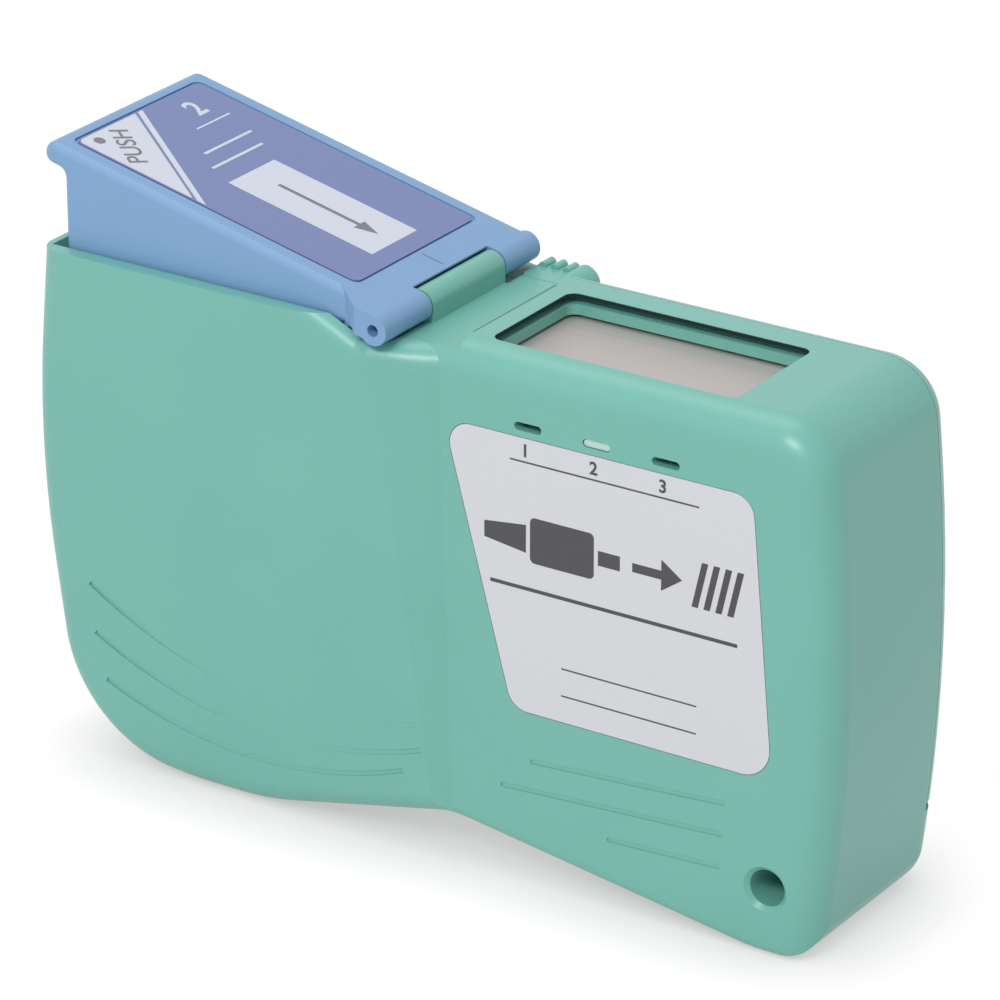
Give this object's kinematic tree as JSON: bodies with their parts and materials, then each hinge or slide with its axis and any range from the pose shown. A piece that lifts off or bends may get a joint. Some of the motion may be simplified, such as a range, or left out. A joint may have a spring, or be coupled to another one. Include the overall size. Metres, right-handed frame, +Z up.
{
  "type": "fibre optic connector cleaning cassette",
  "caption": "Hand-held reel-type connector cleaner: two-lobed moulded case, sprung push lever that winds the tape and draws back the window shutter, hinged rear cover.",
  "frame": {"origin": "middle of the bounding box at the base, where the two lobes stand on a table", "axes": "+X towards the window end, -Y towards the labelled front, +Z up through the window"},
  "size_m": [0.1196, 0.0376, 0.0862],
  "materials": {
    "case_green": "satin moulded, fine grain",
    "lever_blue": "satin moulded",
    "label_white": "printed film, matt",
    "lever_label_violet": "printed film, semi gloss",
    "marker_mint": "satin moulded",
    "steel": "bright drawn",
    "shutter_steel": "satin stainless sheet",
    "gear_white": "satin acetal",
    "frame_grey": "satin moulded",
    "reel_white": "satin moulded",
    "clutch_steel": "ground",
    "tape_white": "fine dry microfibre cloth",
    "pad_rubber": "matt",
    "felt": "pressed felt"
  },
  "bodies": {
    "case": {"front_case": "case_green", "window_frame": "case_green", "cover_pin": "steel", "front_label": "label_white", "type_marker": "marker_mint", "lever_pin": "steel", "lever_spring": "steel", "arm_clip": "steel", "shutter_guide": "frame_grey", "guide_screws": "steel", "cassette_frame": "frame_grey", "platen_pad": "pad_rubber", "tape_run": "tape_white", "roller_axles": "steel", "brake_washer": "felt"},
    "cover": {"rear_cover": "case_green"},
    "push_lever": {"lever": "lever_blue", "lever_label": "lever_label_violet", "drive_sector": "gear_white"},
    "gear": {"drive_gear": "gear_white"},
    "arm": {"shutter_arm": "gear_white"},
    "window_shutter": {"shutter": "shutter_steel"},
    "supply": {"supply_reel": "reel_white", "supply_roll": "tape_white"},
    "take_up": {"take_up_reel": "reel_white", "take_up_roll": "tape_white", "one_way_clutch": "clutch_steel"},
    "roller_left": {"guide_roller_left": "gear_white"},
    "roller_right": {"guide_roller_right": "gear_white"}
  },
  "joints": [
    {"name": "lever_press", "type": "hinge", "parent": "case", "child": "push_lever", "pos_m": [-0.00522, 0, 0.0725], "axis": [0, -1, 0], "range_deg": [0, 11.5], "stiffness_Nm_per_rad": 1.4, "springref_deg": -6.88, "deforming": ["lever_spring"]},
    {"name": "drive_gear_turn", "type": "hinge", "parent": "case", "child": "gear", "pos_m": [-0.02837, 0, 0.03275], "axis": [0, -1, 0], "range_deg": [-64.2, 0]},
    {"name": "shutter_arm_swing", "type": "hinge", "parent": "case", "child": "arm", "pos_m": [-0.01662, 0, 0.02264], "axis": [0, -1, 0], "range_deg": [0, 52.9]},
    {"name": "shutter_slide", "type": "slide", "parent": "case", "child": "window_shutter", "axis": [-1, 0, 0], "range_m": [0, 0.0366]},
    {"name": "supply_turn", "type": "hinge", "parent": "case", "child": "supply", "pos_m": [0.02663, 0, 0.032], "axis": [0, -1, 0], "continuous": true},
    {"name": "take_up_turn", "type": "hinge", "parent": "case", "child": "take_up", "pos_m": [-0.02837, 0, 0.03275], "axis": [0, -1, 0], "continuous": true},
    {"name": "left_roller_turn", "type": "hinge", "parent": "case", "child": "roller_left", "pos_m": [0.00413, 0, 0.0622], "axis": [0, -1, 0], "continuous": true},
    {"name": "right_roller_turn", "type": "hinge", "parent": "case", "child": "roller_right", "pos_m": [0.04713, 0, 0.0622], "axis": [0, -1, 0], "continuous": true},
    {"name": "cover_hinge", "type": "hinge", "parent": "case", "child": "cover", "pos_m": [-0.00037, 0.0145, 0.012], "axis": [-1, 0, 0], "range_deg": [0, 90]}
  ],
  "couplings": [
    {"joint": "drive_gear_turn", "follows": "lever_press", "ratio": -5.5714},
    {"joint": "shutter_arm_swing", "follows": "lever_press", "ratio": 4.5882},
    {"joint": "shutter_slide", "follows": "lever_press", "m_per_rad": 0.18185},
    {"joint": "take_up_turn", "follows": "supply_turn", "ratio": -1.6048},
    {"joint": "left_roller_turn", "follows": "supply_turn", "ratio": 6.2188},
    {"joint": "right_roller_turn", "follows": "supply_turn", "ratio": 6.2188}
  ]
}
